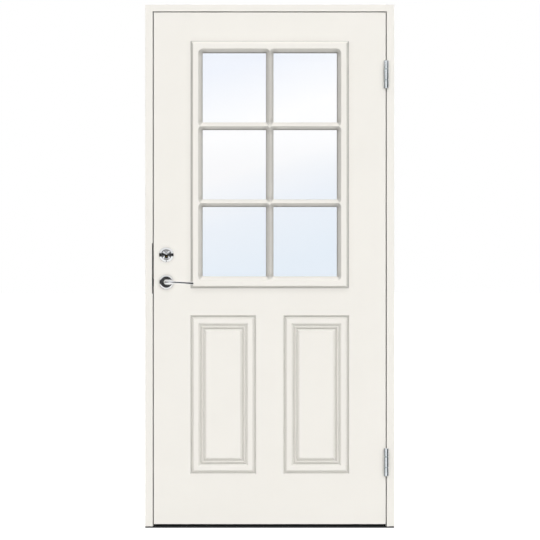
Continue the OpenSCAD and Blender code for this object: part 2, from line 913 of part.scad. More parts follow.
module lock_case() color(steel) difference() {
    block([case_x0, case_x1], [case_y0, case_y1 - case_wall], [case_z0, case_z1]);
    block([case_x0 - over, case_x1 - case_wall], [case_y0 + case_wall, case_y1],
          [case_z0 + case_wall, case_z1 - case_wall]);
    case_holes();
}

module lock_case_cover() color(steel) difference() {
    block([case_x0, case_x1], [case_y1 - case_wall, case_y1], [case_z0, case_z1]);
    case_holes();
}

// Disc with an arm and a crank pin, turning about Y on journals in the case
module crank(z, disc_r, journal_r, arm, angle) {
    y0 = mid_y - bolt_t / 2;
    y1 = mid_y - half_gap;
    bar_y(axis_x, z, y0, y1, disc_r);
    bar_y(axis_x, z, case_y0, case_y1, journal_r);
    translate([axis_x, 0, z]) rotate([0, angle, 0]) {
        block([-crank_w / 2, crank_w / 2], [y0, y1], [0, arm]);
        bar_y(0, arm, y0, y1, crank_w / 2);
        bar_y(0, arm, y0, tail_y1, crank_pin_r);
    }
}

// Square bar or socket on a turning axis, along Y
module square_bar(z, y0, y1, w) {
    block([axis_x - w / 2, axis_x + w / 2], [y0, y1], [z - w / 2, z + w / 2]);
}

module latch_follower() color(steel) difference() {
    crank(handle_z, follower_r, follower_journal_r, follower_arm, -lever_turn / 2);
    square_bar(handle_z, case_y0 - over, case_y1 + over, spindle_w + 2 * slack);
}

module bolt_cam() color(steel) difference() {
    crank(plug_z, cam_r, cam_journal_r, cam_arm, cam_turn / 2);
    square_bar(plug_z, mid_y, case_y1 + over, turn_shaft_w + 2 * slack);
    plug_tail_bar(case_y0 - over, case_y0 + 4, slide_gap);
}

// Bevelled latch with a slotted tail beside the follower
module latch_bolt() color(steel) {
    y0 = mid_y - bolt_t / 2;
    y1 = mid_y + bolt_t / 2;
    pin_at = axis_x - latch_travel / 2;
    low = follower_arm * cos(lever_turn / 2);
    tail_z = handle_z + follower_journal_r + 1.5;
    along_z(handle_z - latch_h / 2, handle_z + latch_h / 2) polygon([
        [latch_tip, y0], [latch_tip, y0 + 2], [latch_tip + 10, y1], [latch_rear, y1], [latch_rear, y0]
    ]);
    difference() {
        block([latch_rear - 10, pin_at + crank_w + 1], [tail_y0, tail_y1], [tail_z, tail_z + tail_h]);
        block([pin_at - crank_pin_r - 0.35, pin_at + crank_pin_r + 0.35],
              [tail_y0 - over, tail_y1 + over],
              [handle_z + low - crank_pin_r - 0.4, handle_z + follower_arm + crank_pin_r + 0.4]);
    }
}

// Square deadbolt with a forked tail beside the cam, at rest drawn back into the leaf
module deadbolt() color(steel) {
    pin_at = axis_x + bolt_throw / 2;
    fork_gap = crank_pin_r + 0.8;
    tail_z = plug_z + cam_journal_r + 0.7;
    block([-leaf_x, bolt_rear], [mid_y - bolt_t / 2, mid_y + bolt_t / 2],
          [plug_z - bolt_h / 2, plug_z + bolt_h / 2]);
    difference() {
        block([case_x0 + bolt_throw + over, pin_at + crank_w], [tail_y0, tail_y1],
              [tail_z, tail_z + tail_h]);
        block([pin_at - fork_gap, pin_at + fork_gap], [tail_y0 - over, tail_y1 + over],
              [tail_z - over, plug_z + cam_arm + crank_pin_r + 0.4]);
    }
}

// Cylinder

module plug_tail_bar(y0, y1, gap = 0) {
    block([axis_x - plug_tail[1] / 2 - gap, axis_x + plug_tail[1] / 2 + gap], [y0, y1],
          [plug_z - plug_tail[0] / 2 - gap, plug_z + plug_tail[0] / 2 + gap]);
}

module cylinder_ring() color(chrome) turned(axis_x, cylinder_z) {
    bore_r = barrel_r + 0.2;
    polygon([
        [bore_r, 0], [rose_r, 0], [rose_r, 0.28 * ring_h], [bore_r + 1.5, ring_h], [bore_r, ring_h]
    ]);
}

module cylinder_body() color(chrome) difference() {
    bar_y(axis_x, cylinder_z, y_out - barrel_proud, case_y0, barrel_r);
    bar_y(axis_x, plug_z, y_out - barrel_proud - over, case_y0 - case_wall, plug_d / 2 + plug_gap);
    bar_y(axis_x, plug_z, mid_y - leaf_t / 2, case_y0 + over, plug_d / 2 - 2);
    cylinder_screw_set(slack);
}

module key_plug() color(brass) difference() {
    union() {
        bar_y(axis_x, plug_z, y_out - barrel_proud, case_y0 - case_wall - slide_gap, plug_d / 2);
        plug_tail_bar(case_y0 - case_wall - over, case_y0 + 3.5);
    }
    block([axis_x - 0.75, axis_x + 0.75], [y_out - barrel_proud - over, y_out + leaf_t / 4],
          [plug_z - plug_d / 3, plug_z + plug_d / 3]);
}

// Screws from the thumbturn's base through the case into the cylinder
module cylinder_screw_set(gap = 0) {
    for (side = sides)
        translate([axis_x + side * cylinder_screw_x, leaf_y1 + base_h, plug_z])
            mirror([0, 1, 0]) screw_plus_y(machine_screw, cylinder_screw_l, gap);
}

module cylinder_screws() color(steel) cylinder_screw_set();

// Roses

// Half section of a disc with a rounded rim
module rim_section(r, h, e) {
    square([r - e, h]);
    square([r, h - e]);
    intersection() {
        translate([r - e, h - e]) circle(e);
        square([r, h]);
    }
}

module rose_cover(z, hole_r) {
    turned(axis_x, z) difference() {
        rim_section(rose_r, rose_h, rose_edge);
        rim_section(rose_r - rose_wall, rose_h - rose_wall, rose_edge - rose_wall);
        translate([0, -over]) square([rose_r - rose_wall, 2 * over]);
        square([hole_r, rose_h + over]);
    }
}

module rose_base(z, hole_r) {
    turned(axis_x, z) translate([hole_r, 0]) square([base_r - hole_r, base_h]);
}

module rose_screw_set(gap = 0) {
    for (side = sides)
        translate([axis_x + side * rose_screw_x, y_out - base_h, handle_z])
            screw_plus_y(machine_screw, rose_screw_l, gap);
}

module outer_rose() color(chrome) rose_cover(handle_z, neck_hole_r);
module inner_rose() color(chrome) inside() rose_cover(handle_z, neck_hole_r);
module thumbturn_rose() color(chrome) inside() rose_cover(plug_z, turn_hub_r + slide_gap);

module rose_bases() color(steel) {
    difference() {
        rose_base(handle_z, neck_hole_r);
        rose_screw_set(slack);
    }
    inside() difference() {
        rose_base(handle_z, neck_hole_r);
        rose_screw_set(slack);
    }
    difference() {
        inside() rose_base(plug_z, turn_hub_r + slide_gap);
        cylinder_screw_set(slack);
    }
}

module rose_screws() color(steel) {
    rose_screw_set();
    inside() rose_screw_set();
}

module thumbturn() color(chrome) {
    hub_y = leaf_y1 + rose_h + 2;
    wing_z = turn_wing_l / 2 - turn_wing_t / 2;
    bar_y(axis_x, plug_z, leaf_y1 + 1, hub_y, turn_hub_r);
    block([axis_x - turn_wing_t / 2, axis_x + turn_wing_t / 2], [hub_y, hub_y + turn_wing_h],
          [plug_z - wing_z, plug_z + wing_z]);
    for (side = sides)
        bar_y(axis_x, plug_z + side * wing_z, hub_y, hub_y + turn_wing_h, turn_wing_t / 2);
    square_bar(plug_z, mid_y + 1, leaf_y1 + 1, turn_shaft_w);
}

// Levers

module spindle() {
    color(steel) square_bar(handle_z, y_out - spindle_in, leaf_y1 + spindle_in, spindle_w);
}

// Smooth step from 0 to 1 as v passes from a to b
function ease(v, a, b) =
    let (t = min(max((v - a) / (b - a), 0), 1)) t * t * (3 - 2 * t);

// Stations along the lever, each
// [x, out from the face, z, tangent angle, half height, half depth, section exponent]
neck_out = lever_reach - lever_bend;
function tapered(x, neck, grip) = neck + (grip - neck) * ease(x, lever_taper[0], lever_taper[1]);
function lever_flare_at(x) = lever_flare * max(0, x - lever_taper[1]) / (lever_l - lever_taper[1]);
function lever_station(x, out, angle, shrink = 1) = [
    x, out, -lever_droop * pow(max(x, 0) / lever_l, 1.5), angle,
    shrink * (tapered(x, neck_d / 2, lever_grip_r[0]) + lever_flare_at(x)),
    shrink * tapered(x, neck_d / 2, lever_grip_r[1]),
    tapered(x, 1, grip_roundness)
];
bend_steps = 8;
grip_steps = 14;
tip_steps = 4;
tip_l = lever_grip_r[0];
lever_stations = concat(
    [lever_station(0, 1, 0)],
    [for (i = [0 : bend_steps]) let (a = 90 * i / bend_steps)
        lever_station(lever_bend * (1 - cos(a)), neck_out + lever_bend * sin(a), a)],
    [for (i = [1 : grip_steps]) let (x = lever_bend + (lever_l - tip_l - lever_bend) * i / grip_steps)
        lever_station(x, lever_reach, 90)],
    [for (i = [1 : tip_steps]) let (a = 80 * i / tip_steps)
        lever_station(lever_l - tip_l + tip_l * sin(a), lever_reach, 90, cos(a))]
);

function squared(v, exponent) = sign(v) * pow(abs(v), exponent);

function lever_ring(s) = [
    for (k = [0 : lever_sides - 1]) let (
        t = 360 * k / lever_sides,
        depth = s[5] * squared(cos(t), s[6]),
        height = s[4] * squared(sin(t), s[6])
    ) [s[0] + depth * cos(s[3]), -s[1] + depth * sin(s[3]), s[2] + height]
];

module lever_form() {
    n = lever_sides;
    rings = len(lever_stations);
    points = [for (s = lever_stations) each lever_ring(s)];
    walls = [for (r = [0 : rings - 2]) for (k = [0 : n - 1]) let (m = (k + 1) % n)
        each [[r * n + k, r * n + m, (r + 1) * n + m], [r * n + k, (r + 1) * n + m, (r + 1) * n + k]]];
    caps = [[for (k = [n - 1 : -1 : 0]) k], [for (k = [0 : n - 1]) (rings - 1) * n + k]];
    polyhedron(points, concat(walls, caps));
}

module grub_screw(gap = 0) {
    translate([axis_x, y_out - grub_y, handle_z - neck_d / 2 - (gap > 0 ? over : 0)])
        cylinder(h = neck_d / 2 - spindle_w / 2 + (gap > 0 ? over : 0), r = grub_r + gap);
}

module lever() {
    difference() {
        translate([axis_x, y_out, handle_z]) lever_form();
        square_bar(handle_z, y_out - spindle_in, y_out + over, spindle_w + 2 * slack);
        grub_screw(slack);
    }
}

module outer_lever() color(chrome) lever();
module inner_lever() color(chrome) inside() lever();

module lever_grub_screws() color(steel) {
    grub_screw();
    inside() grub_screw();
}

lock_jamb();
hinge_jamb();
frame_head();
threshold();
frame_seal();
threshold_seal();
strike_plate();
strike_screws();
upper_hinge_frame_plate();
lower_hinge_frame_plate();
upper_hinge_pin();
lower_hinge_pin();
hinge_washers();
hinge_frame_screws();
frame_corner_screws();
outer_skin();
inner_skin();
lock_stile();
lock_block();
hinge_stile();
top_rail();
bottom_rail();
insulation_core();
outer_glazing_frame();
inner_glazing_frame();
outer_pane();
middle_pane();
inner_pane();
outer_spacer();
inner_spacer();
outer_glazing_tape();
inner_glazing_tape();
glazing_blocks();
glazing_screws();
lock_case();
lock_case_cover();
lock_faceplate();
faceplate_screws();
cylinder_ring();
cylinder_body();
cylinder_screws();
outer_rose();
inner_rose();
rose_bases();
rose_screws();
thumbturn_rose();
upper_hinge_leaf_plate();
lower_hinge_leaf_plate();
hinge_leaf_screws();
outer_lever();
inner_lever();
spindle();
latch_follower();
lever_grub_screws();
latch_bolt();
deadbolt();
key_plug();
thumbturn();
bolt_cam();
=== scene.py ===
"""Looks of the panelled front door set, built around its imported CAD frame. Metres, in the CAD frame."""

import json
import math

import bmesh
import bpy
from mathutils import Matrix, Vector


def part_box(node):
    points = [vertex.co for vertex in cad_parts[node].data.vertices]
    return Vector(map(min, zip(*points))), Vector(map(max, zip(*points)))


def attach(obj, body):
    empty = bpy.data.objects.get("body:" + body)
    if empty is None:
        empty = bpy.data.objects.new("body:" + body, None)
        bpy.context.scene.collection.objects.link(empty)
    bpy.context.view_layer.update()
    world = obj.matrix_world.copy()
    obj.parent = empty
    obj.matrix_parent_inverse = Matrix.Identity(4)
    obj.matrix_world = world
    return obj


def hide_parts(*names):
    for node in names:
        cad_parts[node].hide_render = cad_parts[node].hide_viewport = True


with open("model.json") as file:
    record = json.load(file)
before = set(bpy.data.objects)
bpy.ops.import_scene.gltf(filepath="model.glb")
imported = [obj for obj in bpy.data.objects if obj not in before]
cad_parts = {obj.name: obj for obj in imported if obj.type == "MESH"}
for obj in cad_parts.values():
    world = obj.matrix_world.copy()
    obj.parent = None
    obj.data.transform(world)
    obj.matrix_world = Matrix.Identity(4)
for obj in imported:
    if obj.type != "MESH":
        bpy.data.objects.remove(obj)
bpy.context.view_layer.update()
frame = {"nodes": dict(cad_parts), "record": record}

nodes = frame["nodes"]


# Places read from the CAD nodes

def centre_of(name):
    low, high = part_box(name)
    return (low + high) / 2


FRONT_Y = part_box("lock_jamb")[0].y
LEAF_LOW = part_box("outer_skin")[0]
LEAF_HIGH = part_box("inner_skin")[1]
LEVER_AXIS = centre_of("spindle")
CYLINDER_CENTRE = centre_of("cylinder_body")
PLUG_CENTRE = centre_of("key_plug")


# Helpers that build node trees

AO_SAMPLES = 8
MIX_INPUTS = (0, 6, 7)
MIX_RESULT = 2


class NodeTree:
    """A node tree being built, with short calls that add, set and join its nodes."""

    def __init__(self, tree):
        self.tree = tree

    def add(self, kind, **settings):
        """A new node with its properties set."""
        node = self.tree.nodes.new(kind)
        for key, value in settings.items():
            setattr(node, key, value)
        return node

    def join(self, source, target):
        self.tree.links.new(source, target)

    def give(self, socket, value):
        """Joins another socket to this one, or sets it to a number or a colour."""
        if isinstance(value, bpy.types.NodeSocket):
            self.join(value, socket)
        elif isinstance(value, (int, float)):
            socket.default_value = value
        else:
            socket.default_value = (*value, 1.0)

    def math(self, operation, first, second=0.0):
        node = self.add("ShaderNodeMath", operation=operation)
        self.give(node.inputs[0], first)
        self.give(node.inputs[1], second)
        return node.outputs["Value"]

    def spread(self, source, low=0.0, high=1.0, from_low=0.0, from_high=1.0, easing="LINEAR"):
        """A value carried from one range to another, held at the ends."""
        node = self.add("ShaderNodeMapRange", interpolation_type=easing)
        node.inputs["From Min"].default_value = from_low
        node.inputs["From Max"].default_value = from_high
        node.inputs["To Min"].default_value = low
        node.inputs["To Max"].default_value = high
        self.join(source, node.inputs["Value"])
        return node.outputs["Result"]

    def axis(self, name, vector):
        """X, Y or Z of a vector."""
        node = self.add("ShaderNodeSeparateXYZ")
        self.join(vector, node.inputs["Vector"])
        return node.outputs[name]


class Shader(NodeTree):
    """A material being built round a Principled shader."""

    def __init__(self, name):
        self.material = bpy.data.materials.new(name)
        self.material.use_nodes = True
        super().__init__(self.material.node_tree)
        self.bsdf = next(n for n in self.tree.nodes if n.type == "BSDF_PRINCIPLED")
        texture = self.add("ShaderNodeTexCoord")
        self.coordinates = texture.outputs["Object"]
        self.normals = texture.outputs["Normal"]

    def set(self, **values):
        """Constants on the shader's own sockets, named with underscores for spaces."""
        for key, value in values.items():
            self.bsdf.inputs[key.replace("_", " ")].default_value = value

    def feed(self, socket, source):
        self.join(source, self.bsdf.inputs[socket])

    def place(self, name):
        """X, Y or Z of the shaded point."""
        return self.axis(name, self.coordinates)

    def facing(self, name):
        """X, Y or Z of the surface's normal."""
        return self.axis(name, self.normals)

    def stretched(self, scale):
        """The object's coordinates multiplied by a scale for each axis."""
        node = self.add("ShaderNodeMapping")
        node.inputs["Scale"].default_value = scale
        self.join(self.coordinates, node.inputs["Vector"])
        return node.outputs["Vector"]

    def noise(self, scale, detail=2.0, roughness=0.5, vector=None):
        node = self.add("ShaderNodeTexNoise")
        node.inputs["Scale"].default_value = scale
        node.inputs["Detail"].default_value = detail
        node.inputs["Roughness"].default_value = roughness
        self.join(vector or self.coordinates, node.inputs["Vector"])
        return node.outputs["Fac"]

    def ramp(self, source, stops):
        """Colours along a value, each stop as (place, colour)."""
        node = self.add("ShaderNodeValToRGB")
        elements = node.color_ramp.elements
        while len(elements) < len(stops):
            elements.new(0.5)
        for element, (place, colour) in zip(elements, stops):
            element.position = place
            element.color = (*colour, 1.0)
        self.join(source, node.inputs["Fac"])
        return node.outputs["Color"]

    def mix(self, factor, first, second):
        """Two colours mixed by a factor; each may be a colour or a socket."""
        node = self.add("ShaderNodeMix", data_type="RGBA")
        for place, value in zip(MIX_INPUTS, (factor, first, second)):
            self.give(node.inputs[place], value)
        return node.outputs[MIX_RESULT]

    def sheltered(self, distance, own=True):
        """1 in the open, less where its own mesh, or any mesh, stands within a distance."""
        node = self.add("ShaderNodeAmbientOcclusion", samples=AO_SAMPLES, only_local=own)
        node.inputs["Distance"].default_value = distance
        return node.outputs["AO"]

    def bump(self, height, strength, distance):
        node = self.add("ShaderNodeBump")
        node.inputs["Strength"].default_value = strength
        node.inputs["Distance"].default_value = distance
        self.join(height, node.inputs["Height"])
        self.feed("Normal", node.outputs["Normal"])

    def distance_from_axis(self, centre):
        """Distance in the X and Z plane from an axis along Y."""
        shift = self.add("ShaderNodeVectorMath", operation="SUBTRACT")
        shift.inputs[1].default_value = centre
        self.join(self.coordinates, shift.inputs[0])
        flat = self.add("ShaderNodeVectorMath", operation="MULTIPLY")
        flat.inputs[1].default_value = (1.0, 0.0, 1.0)
        self.join(shift.outputs["Vector"], flat.inputs[0])
        length = self.add("ShaderNodeVectorMath", operation="LENGTH")
        self.join(flat.outputs["Vector"], length.inputs[0])
        return length.outputs["Value"]


# Colours along each material's own texture, as (place, colour)

COLOURS = {
    "paint": ((0.3, (0.864, 0.839, 0.783)), (0.7, (0.880, 0.855, 0.800))),
    "timber": ((0.1, (0.56, 0.36, 0.18)), (0.9, (0.74, 0.55, 0.33))),
    "foam": ((0.0, (0.78, 0.70, 0.46)), (0.8, (0.86, 0.80, 0.58))),
    "dark_threshold": ((0.3, (0.010, 0.0105, 0.011)), (0.75, (0.018, 0.0185, 0.019))),
    "rubber_seal": ((0.35, (0.012, 0.012, 0.012)), (0.8, (0.035, 0.034, 0.033))),
    "spacer_plastic": ((0.3, (0.035, 0.036, 0.038)), (0.8, (0.055, 0.056, 0.058))),
    "zinc_steel": ((0.3, (0.56, 0.60, 0.63)), (0.75, (0.68, 0.72, 0.745))),
    "chrome": ((0.3, (0.74, 0.745, 0.755)), (0.8, (0.80, 0.805, 0.815))),
    "turned_chrome": ((0.3, (0.60, 0.61, 0.63)), (0.7, (0.72, 0.73, 0.75))),
    "brass": ((0.3, (0.13, 0.075, 0.012)), (0.8, (0.22, 0.13, 0.025))),
    # Glass: pale blues of a painted sky reflection, along the height and lean of the panes
    "clear_glass": (
        (0.04, (0.935, 0.962, 0.990)), (0.30, (0.955, 0.972, 0.994)), (0.52, (0.992, 0.994, 1.0)),
        (0.70, (0.996, 0.997, 1.0)), (0.97, (0.955, 0.968, 0.993)),
    ),
}
PAINT_EDGE = (0.82, 0.797, 0.746)
# Painted shade: colours the paint darkens to where it is sheltered, on flat pieces and on mouldings
PAINT_SHADE_COLOUR = (0.22, 0.210, 0.192)
MOULDING_SHADE_COLOUR = (0.05, 0.048, 0.044)
# Painted shade colour of the zinc where other parts stand close
ZINC_SHADE_COLOUR = (0.05, 0.053, 0.056)
PLUG_BLACK = (0.012, 0.011, 0.010)


# Painted shade in the paint's colour, from how sheltered it is: a reach is how far it looks, a depth is the
# openness that counts as closed

GROOVE_REACH = 0.030
GROOVE_DEPTH = 0.14
GAP_REACH = 0.012
GAP_DEPTH = 0.25
OUT_FACING = (0.35, 0.6)
MOULDING_DEPTH = 0.45
SIDE_DEPTH = 0.52
SIDE_SHADE = 0.84
SIDE_FACING = (0.2, 0.6)
UP_FACING = (0.2, 0.6)
LEAST_OPEN = 0.62
CONTACT_REACH = 0.030
CONTACT_SHADE = 0.75
CONTACT_MARGIN = 0.045
UNDER_SHADE = 2.6
UNDER_BLEND = 0.008
LOCK_REACH = 0.014
LOCK_RADIUS = 0.044


def beside_glazing(shader):
    """Soft shade on the leaf close to the glazing frames, deepest under their foot, 1 further away."""
    low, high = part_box("outer_glazing_frame")
    from_middle = shader.math("ABSOLUTE", shader.place("X"))
    aside = shader.math("GREATER_THAN", from_middle, high.x + CONTACT_MARGIN)
    below = shader.math("LESS_THAN", shader.place("Z"), low.z - CONTACT_MARGIN)
    shade = shader.spread(shader.sheltered(CONTACT_REACH, own=False), low=1.0 - CONTACT_SHADE)
    deeper = shader.spread(shader.place("Z"), UNDER_SHADE, 1.0, low.z - UNDER_BLEND, low.z)
    shade = shader.math("POWER", shade, deeper)
    return shader.math("MAXIMUM", shade, shader.math("MAXIMUM", aside, below))


def beside_lock(shader):
    """Soft shade on the leaf close round the cylinder and the lever's rose, 1 further away."""
    shade = shader.sheltered(LOCK_REACH, own=False)
    past_cylinder = shader.math("GREATER_THAN", shader.distance_from_axis(CYLINDER_CENTRE), LOCK_RADIUS)
    past_rose = shader.math("GREATER_THAN", shader.distance_from_axis(LEVER_AXIS), LOCK_RADIUS)
    return shader.math("MAXIMUM", shade, shader.math("MULTIPLY", past_cylinder, past_rose))


def flat_painted_shade(shader):
    """Painted shade of a flat piece, as openness: less in its grooves, in the gaps and beside what stands
    on the leaf.
    """
    in_grooves = shader.spread(shader.sheltered(GROOVE_REACH), from_low=GROOVE_DEPTH)
    outwards = shader.math("ABSOLUTE", shader.facing("Y"))
    faces_out = shader.spread(outwards, 0.0, 1.0, *OUT_FACING)
    near_others = shader.spread(shader.sheltered(GAP_REACH, own=False), from_low=GAP_DEPTH)
    in_gaps = shader.math("MAXIMUM", faces_out, near_others)
    painted_shade = shader.math("MULTIPLY", in_grooves, in_gaps)
    painted_shade = shader.math("MULTIPLY", painted_shade, beside_glazing(shader))
    return shader.math("MULTIPLY", painted_shade, beside_lock(shader))


def moulding_painted_shade(shader):
    """Painted shade of a moulding, as openness: least where it faces sideways, fully open where it faces
    up.
    """
    sideways = shader.math("ABSOLUTE", shader.facing("X"))
    depth = shader.spread(sideways, MOULDING_DEPTH, SIDE_DEPTH, *SIDE_FACING)
    above_depth = shader.math("SUBTRACT", shader.sheltered(GROOVE_REACH, own=False), depth)
    openness = shader.math("DIVIDE", above_depth, shader.math("SUBTRACT", 1.0, depth))
    # Painted side shade: faces turned sideways are darker, as if lit from the front
    side_shade = shader.spread(sideways, 1.0, SIDE_SHADE, *SIDE_FACING)
    openness = shader.math("MULTIPLY", openness, side_shade)
    faces_up = shader.spread(shader.facing("Z"), 0.0, 1.0, *UP_FACING)
    return shader.math("MAXIMUM", openness, shader.math("MAXIMUM", faces_up, LEAST_OPEN))


# Materials, each named as its slot

PAINT_FILM = 0.0005
ZINC_REACH = 0.030
ZINC_OPEN = (0.66, 0.95)
TURNING_ROTATION = 0.25
PLUG_RING = (0.0028, 0.012)
GLASS_REFLECTION_LEAN = -0.35
GLASS_REFLECTION_UNEVENNESS = 0.05


def paint(name, painted_shade, shade_colour):
    """Sprayed satin paint: faint unevenness, orange peel, patches of different gloss, and painted shade in
    its grooves and hollows.
    """
    shader = Shader(name)
    open_paint = shader.ramp(shader.noise(scale=5.0, detail=4.0), COLOURS["paint"])
    # Painted shade: the paint's colour runs to its shade colour where the surface is sheltered
    shader.feed("Base Color", shader.mix(painted_shade(shader), shade_colour, open_paint))
    shader.feed("Roughness", shader.spread(shader.noise(scale=38.0, detail=3.0), low=0.38, high=0.50))
    peel = shader.noise(scale=260.0, detail=3.0, roughness=0.6)
    shader.bump(peel, strength=0.06, distance=0.0006)
    shader.set(Specular_IOR_Level=0.35)
    return shader.material


def white_paint():
    return paint("white_paint", flat_painted_shade, PAINT_SHADE_COLOUR)


def shaded_moulding_paint():
    return paint("shaded_moulding_paint", moulding_painted_shade, MOULDING_SHADE_COLOUR)


def timber():
    """Pine with growth rings along the length, painted where it shows in the edges of the leaf."""
    shader = Shader("timber")
    rings = shader.add("ShaderNodeTexWave", bands_direction="X")
    rings.inputs["Scale"].default_value = 36.0
    rings.inputs["Distortion"].default_value = 3.0
    rings.inputs["Detail"].default_value = 3.0
    along = shader.stretched((1.0, 1.0, 0.06))
    shader.join(along, rings.inputs["Vector"])
    wood = shader.ramp(rings.outputs["Fac"], COLOURS["timber"])
    from_middle = shader.math("ABSOLUTE", shader.place("X"))
    sides = shader.math("GREATER_THAN", from_middle, LEAF_HIGH.x - PAINT_FILM)
    top = shader.math("GREATER_THAN", shader.place("Z"), LEAF_HIGH.z - PAINT_FILM)
    foot = shader.math("LESS_THAN", shader.place("Z"), LEAF_LOW.z + PAINT_FILM)
    painted = shader.math("MAXIMUM", sides, shader.math("MAXIMUM", top, foot))
    shader.feed("Base Color", shader.mix(painted, wood, PAINT_EDGE))
    shader.feed("Roughness", shader.spread(shader.noise(scale=60.0, detail=3.0), low=0.42, high=0.6))
    grain = shader.noise(scale=220.0, detail=3.0, roughness=0.6)
    shader.bump(grain, strength=0.08, distance=0.0006)
    shader.set(Specular_IOR_Level=0.35)
    return shader.material


def foam():
    """Rigid insulation with small cells."""
    shader = Shader("foam")
    cells = shader.add("ShaderNodeTexVoronoi")
    cells.inputs["Scale"].default_value = 420.0
    shader.join(shader.coordinates, cells.inputs["Vector"])
    shader.feed("Base Color", shader.ramp(cells.outputs["Distance"], COLOURS["foam"]))
    shader.bump(cells.outputs["Distance"], strength=0.4, distance=0.001)
    shader.set(Roughness=0.9)
    return shader.material


def dark_threshold():
    """Dark anodised metal with brushing along its length and faint scuffs."""
    shader = Shader("dark_threshold")
    along = shader.stretched((0.4, 12.0, 12.0))
    brushed = shader.noise(scale=60.0, detail=4.0, roughness=0.6, vector=along)
    shader.feed("Base Color", shader.ramp(brushed, COLOURS["dark_threshold"]))
    shader.feed("Roughness", shader.spread(brushed, low=0.42, high=0.58))
    shader.bump(brushed, strength=0.12, distance=0.0004)
    shader.set(Specular_IOR_Level=0.3)
    return shader.material


def rubber_seal():
    """Matt black rubber with a slightly dusty surface."""
    shader = Shader("rubber_seal")
    dust = shader.noise(scale=90.0, detail=5.0, roughness=0.65)
    shader.feed("Base Color", shader.ramp(dust, COLOURS["rubber_seal"]))
    shader.feed("Roughness", shader.spread(dust, low=0.6, high=0.8))
    shader.bump(dust, strength=0.2, distance=0.0004)
    return shader.material


def spacer_plastic():
    """Matt dark plastic with a fine grain."""
    shader = Shader("spacer_plastic")
    grain = shader.noise(scale=400.0, detail=3.0)
    shader.feed("Base Color", shader.ramp(grain, COLOURS["spacer_plastic"]))
    shader.feed("Roughness", shader.spread(grain, low=0.5, high=0.65))
    shader.bump(grain, strength=0.15, distance=0.0003)
    return shader.material


def zinc_steel():
    """Bright zinc on steel: bluish, with cloudy spangle and fine drawing marks, and painted shade where
    other parts stand close.
    """
    shader = Shader("zinc_steel")
    spangle = shader.noise(scale=120.0, detail=4.0, roughness=0.6)
    metal = shader.ramp(spangle, COLOURS["zinc_steel"])
    # Painted shade: the zinc darkens where other parts stand within reach, as between the hinge knuckles
    painted_shade = shader.spread(shader.sheltered(ZINC_REACH, own=False), 0.0, 1.0, *ZINC_OPEN)
    shader.feed("Base Color", shader.mix(painted_shade, ZINC_SHADE_COLOUR, metal))
    along = shader.stretched((1.0, 1.0, 0.08))
    marks = shader.noise(scale=500.0, detail=3.0, roughness=0.6, vector=along)
    shader.feed("Roughness", shader.spread(marks, low=0.08, high=0.15))
    shader.bump(marks, strength=0.06, distance=0.0003)
    shader.set(Metallic=1.0)
    return shader.material


def chrome():
    """Polished chrome with faint wiping marks."""
    shader = Shader("chrome")
    across = shader.stretched((1.0, 1.0, 3.0))
    wipes = shader.noise(scale=70.0, detail=5.0, roughness=0.65, vector=across)
    shader.feed("Base Color", shader.ramp(wipes, COLOURS["chrome"]))
    shader.feed("Roughness", shader.spread(wipes, low=0.05, high=0.12))
    shader.bump(shader.noise(scale=900.0), strength=0.01, distance=0.0002)
    shader.set(Metallic=1.0)
    return shader.material


def turned_chrome():
    """Face turned on a lathe: fine rings that stretch each highlight across them."""
    shader = Shader("turned_chrome")
    rings = shader.add("ShaderNodeTexNoise", noise_dimensions="1D")
    rings.inputs["Scale"].default_value = 2600.0
    rings.inputs["Detail"].default_value = 2.0
    shader.join(shader.distance_from_axis(CYLINDER_CENTRE), rings.inputs["W"])
    shader.feed("Base Color", shader.ramp(rings.outputs["Fac"], COLOURS["turned_chrome"]))
    shader.feed("Roughness", shader.spread(rings.outputs["Fac"], low=0.165, high=0.175))
    tangent = shader.add("ShaderNodeTangent", direction_type="RADIAL", axis="Y")
    shader.feed("Tangent", tangent.outputs["Tangent"])
    shader.set(Metallic=1.0, Anisotropic=1.0, Anisotropic_Rotation=TURNING_ROTATION)
    return shader.material


def brass():
    """Tarnished brass, with the key plug coloured black in an outer ring round its brass centre."""
    shader = Shader("brass")
    tarnish = shader.noise(scale=350.0, detail=4.0, roughness=0.6)
    metal = shader.ramp(tarnish, COLOURS["brass"])
    radius = shader.distance_from_axis(PLUG_CENTRE)
    past_inner = shader.math("GREATER_THAN", radius, PLUG_RING[0])
    within_outer = shader.math("LESS_THAN", radius, PLUG_RING[1])
    ring = shader.math("MULTIPLY", past_inner, within_outer)
    shader.feed("Base Color", shader.mix(ring, metal, PLUG_BLACK))
    shader.feed("Roughness", shader.spread(tarnish, low=0.3, high=0.5))
    shader.set(Metallic=1.0)
    return shader.material


def clear_glass():
    """Sealed unit, faintly blue, with a painted sky reflection that deepens the blue towards the foot and
    the upper left.
    """
    shader = Shader("clear_glass")
    low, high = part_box("outer_pane")
    height = shader.spread(shader.place("Z"), 0.0, 1.0, low.z, high.z)
    lean = shader.math("MULTIPLY", shader.place("X"), GLASS_REFLECTION_LEAN)
    unevenness = shader.spread(shader.noise(scale=1.6), low=-GLASS_REFLECTION_UNEVENNESS, high=GLASS_REFLECTION_UNEVENNESS)
    # Painted reflection: the tint follows height, a lean across the door and slow unevenness
    painted_reflection = shader.math("ADD", shader.math("ADD", height, lean), unevenness)
    shader.feed("Base Color", shader.ramp(painted_reflection, COLOURS["clear_glass"]))
    shader.set(Transmission_Weight=1.0, Roughness=0.0, IOR=1.45, Specular_IOR_Level=0.12)
    return shader.material


MATERIAL_MAKERS = (
    white_paint, shaded_moulding_paint, timber, foam, dark_threshold, rubber_seal,
    spacer_plastic, zinc_steel, chrome, turned_chrome, brass, clear_glass,
)
materials = {make.__name__: make() for make in MATERIAL_MAKERS}


